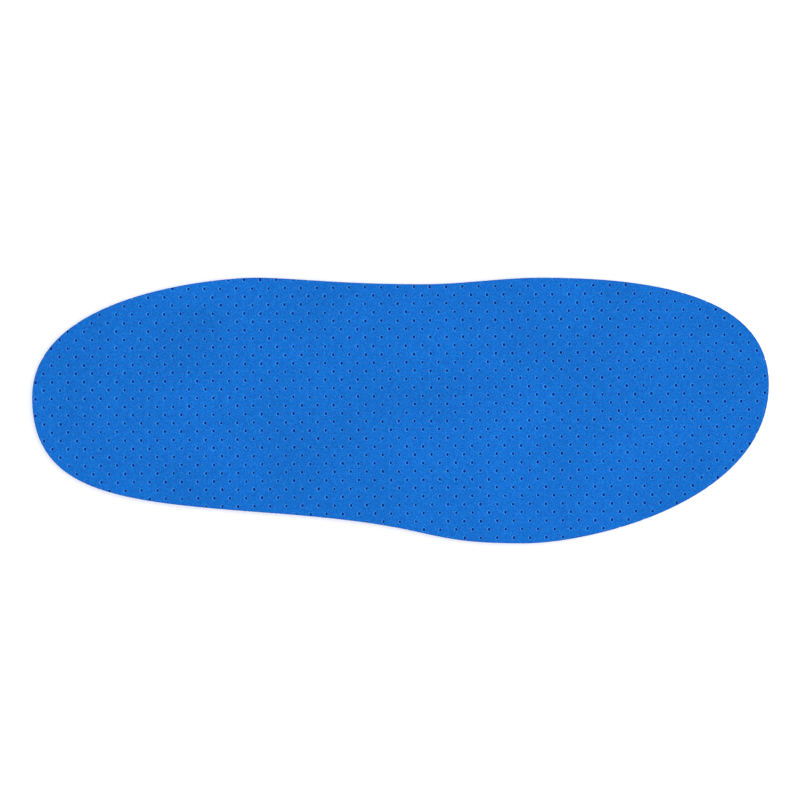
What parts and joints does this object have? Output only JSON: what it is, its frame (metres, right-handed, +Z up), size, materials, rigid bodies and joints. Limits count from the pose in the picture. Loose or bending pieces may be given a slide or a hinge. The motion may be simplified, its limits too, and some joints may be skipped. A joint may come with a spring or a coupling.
{
  "type": "cushioned insole",
  "caption": "Flat full-length cushioned shoe insole for the right foot: a perforated cloth face bonded on soft foam, which bends upwards at the ball of the foot.",
  "frame": {"origin": "on the floor, in the middle of the insole's box, as it lies flat with its cloth side up", "axes": "+X towards the toes, +Y towards the big-toe side, +Z up, out of the cloth face"},
  "size_m": [0.28, 0.101, 0.006],
  "materials": {
    "lower_foam": "matte",
    "upper_foam": "matte",
    "face_cloth": "matte"
  },
  "bodies": {
    "rear": {"lower_foam_rear": "lower_foam", "upper_foam_rear": "upper_foam", "face_cloth_rear": "face_cloth"},
    "forefoot": {"lower_foam_forefoot": "lower_foam", "upper_foam_forefoot": "upper_foam", "face_cloth_forefoot": "face_cloth"}
  },
  "joints": [
    {"name": "ball_flex", "type": "hinge", "parent": "rear", "child": "forefoot", "pos_m": [0.05, 0, 0.006], "axis": [-0.0593, -0.9982, 0], "range_deg": [0, 60], "stiffness_Nm_per_rad": 0.05}
  ]
}
